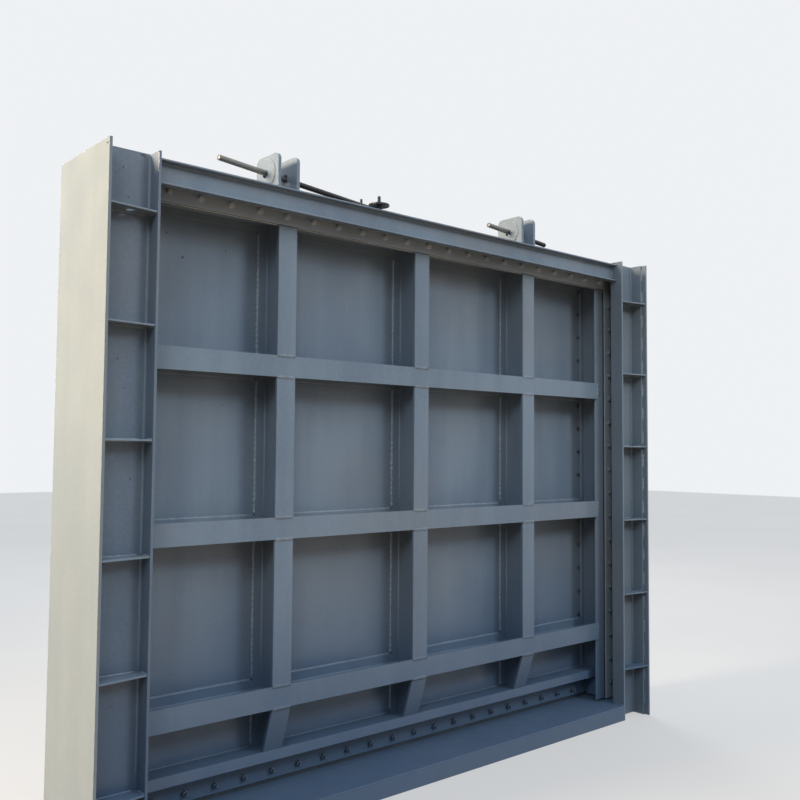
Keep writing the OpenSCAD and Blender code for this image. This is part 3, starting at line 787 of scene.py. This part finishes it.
# From where to where the beads run, measured from the gate's middle plane
wall_bead_ends = (0.157, 0.212)
side_bead_ends = (0.222, plate_high[1] - 0.006)
sill_bead_ends = (0.142, 0.218)
for side in (-1, 1):
    for face in (-1, 1):
        x = side * plate_low[0]
        y = face * channel_front
        stitches(bm, (x, y, 0.02), (x, y, column_top - 0.01), RIGHT * -side, BACK * face,
                 STITCH_LEG, stitch_length, stitch_pitch)
        inner_x = side * (channel_low[0] + channel_flange)
        outer_x = side * (channel_high[0] - channel_flange)
        floor_y = face * channel_floor
        run_in = side * 0.014
        for i in range(column_plate_count):
            z = column_plate_first + column_plate_pitch * i
            for up in (-1, 1):
                level = z + up * column_plate_half
                bead(bm, (inner_x + run_in, floor_y, level), (outer_x - run_in, floor_y, level),
                     BACK * face, UP * up, COLUMN_LEG)
                near, far = (face * end for end in wall_bead_ends)
                for wall, inward in ((inner_x, 1), (outer_x, -1)):
                    deep_bead(bm, wall, level, near, far, side * inward, up, COLUMN_LEG)
                near, far = (face * end for end in side_bead_ends)
                deep_bead(bm, x, level, near, far, -side, up, OUTER_LEG)
        x = side * channel_low[0]
        bead(bm, (x, floor_y, lintel_low[2] + 0.010), (x, floor_y, lintel_high[2] - 0.010),
             RIGHT * -side, BACK * face, WEB_LEG)
        near, far = (face * end for end in sill_bead_ends)
        deep_bead(bm, x, sill_top, near, far, -side, 1)
piece("welds_frame", bm, "frame", weld_paint)

ribbed_bar("rod_left", "left_rod", left_rod_metal)
ribbed_bar("rod_right", "right_rod", right_rod_metal)

# Floor: pale where the camera sees it, and brown earth in the light that it
# throws back on the gate
floor_half = 30
corners = [(-1, -1), (1, -1), (1, 1), (-1, 1)]
floor_mesh = bpy.data.meshes.new("floor")
floor_mesh.from_pydata([(x * floor_half, y * floor_half, 0) for x, y in corners], [], [(0, 1, 2, 3)])
floor = bpy.data.objects.new("floor", floor_mesh)
floor.location.z = -0.0005
bpy.context.scene.collection.objects.link(floor)


def seen_by_camera(tree):
    """1 for rays that show the background, straight, mirrored or through glass."""
    path = tree.nodes.new("ShaderNodeLightPath")
    seen = path.outputs["Is Camera Ray"]
    for name in ("Is Glossy Ray", "Is Transmission Ray"):
        either = tree.nodes.new("ShaderNodeMath")
        either.operation = "MAXIMUM"
        tree.links.new(seen, either.inputs[0])
        tree.links.new(path.outputs[name], either.inputs[1])
        seen = either.outputs[0]
    return seen


shade = Shader("floor")
clouds = shade.ramp(shade.noise(0.5, 3.0), 0.3, 0.7)
pale = shade.mix(clouds, rgb(101, 101, 100), rgb(106, 106, 105))
earth = rgb(130, 113, 92)
seen = seen_by_camera(shade.tree)
shade.feed(shade.surface.inputs["Base Color"], shade.mix(seen, earth, pale))
shade.surface.inputs["Emission Color"].default_value = rgb(240, 241, 242)
shade.feed(shade.surface.inputs["Emission Strength"], shade.math("MULTIPLY", seen, 0.52))
shade.surface.inputs["Roughness"].default_value = 0.9
floor_mesh.materials.append(shade.material)
floor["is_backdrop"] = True

# World: a cool sky that is dim near the horizon and bright overhead, and a pale
# background for what the camera sees
sky_colour = (0.80, 0.88, 1.0, 1)
backdrop_colour = (0.86, 0.88, 0.90, 1)
world = bpy.data.worlds.new("studio")
bpy.context.scene.world = world
world.use_nodes = True
tree = world.node_tree
tree.nodes.clear()
output = tree.nodes.new("ShaderNodeOutputWorld")
blend = tree.nodes.new("ShaderNodeMixShader")
light = tree.nodes.new("ShaderNodeBackground")
light.inputs[0].default_value = sky_colour
aim = tree.nodes.new("ShaderNodeTexCoord")
split = tree.nodes.new("ShaderNodeSeparateXYZ")
rise = tree.nodes.new("ShaderNodeMapRange")
rise.inputs["From Min"].default_value = 0.05
rise.inputs["From Max"].default_value = 0.8
rise.inputs["To Min"].default_value = 0.10
rise.inputs["To Max"].default_value = 1.55
backdrop = tree.nodes.new("ShaderNodeBackground")
backdrop.inputs[0].default_value = backdrop_colour
backdrop.inputs[1].default_value = 1.0
tree.links.new(aim.outputs["Generated"], split.inputs[0])
tree.links.new(split.outputs[2], rise.inputs["Value"])
tree.links.new(rise.outputs["Result"], light.inputs[1])
tree.links.new(seen_by_camera(tree), blend.inputs[0])
tree.links.new(light.outputs[0], blend.inputs[1])
tree.links.new(backdrop.outputs[0], blend.inputs[2])
tree.links.new(blend.outputs[0], output.inputs[0])


# Lamps
def lamp(name, place, target, size, power, colour, glossy=True, spread=180):
    data = bpy.data.lights.new(name, "AREA")
    data.spread = math.radians(spread)
    data.shape = "DISK"
    data.size = size
    data.energy = power
    data.color = colour
    obj = bpy.data.objects.new(name, data)
    obj.location = place
    obj.rotation_mode = "QUATERNION"
    obj.rotation_quaternion = (Vector(target) - Vector(place)).to_track_quat("-Z", "Y")
    obj.visible_camera = False
    obj.visible_glossy = glossy
    bpy.context.scene.collection.objects.link(obj)


gate_middle = (0, 0, 1.5)
cool = (0.90, 0.96, 1.0)
low_sun = (1.0, 0.80, 0.57)
lamp("key", (3.4, -10.0, 7.6), gate_middle, 3.0, 460, cool, glossy=False)
lamp("fill", (-7.6, -6.6, 8.0), gate_middle, 4.0, 335, cool, glossy=False)
lamp("left", (-8.4, 1.9, 5.0), (-1.8, 0, 1.9), 2.4, 400, low_sun, spread=80)
lamp("back", (5.0, 7.0, 6.0), gate_middle, 4.0, 420, (1.0, 1.0, 1.0))

# Camera of the photograph
yaw = math.radians(40.99)
pitch_up = math.radians(3.148)
roll = math.radians(0.435)
camera_place = (-3.186, -3.561, 1.662)
focal_length = 40.403
forward = Vector((
    math.sin(yaw) * math.cos(pitch_up),
    math.cos(yaw) * math.cos(pitch_up),
    math.sin(pitch_up),
))
level = Vector((math.cos(yaw), -math.sin(yaw), 0))
above = level.cross(forward)
across = level * math.cos(roll) + above * math.sin(roll)
top = above * math.cos(roll) - level * math.sin(roll)
camera_data = bpy.data.cameras.new("camera")
camera_data.sensor_width = 36.0
camera_data.lens = focal_length
camera = bpy.data.objects.new("camera", camera_data)
turn = Matrix((across, top, -forward)).transposed().to_4x4()
camera.matrix_world = Matrix.Translation(camera_place) @ turn
bpy.context.scene.collection.objects.link(camera)
bpy.context.scene.camera = camera
bpy.context.scene.view_settings.view_transform = "Standard"

low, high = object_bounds()
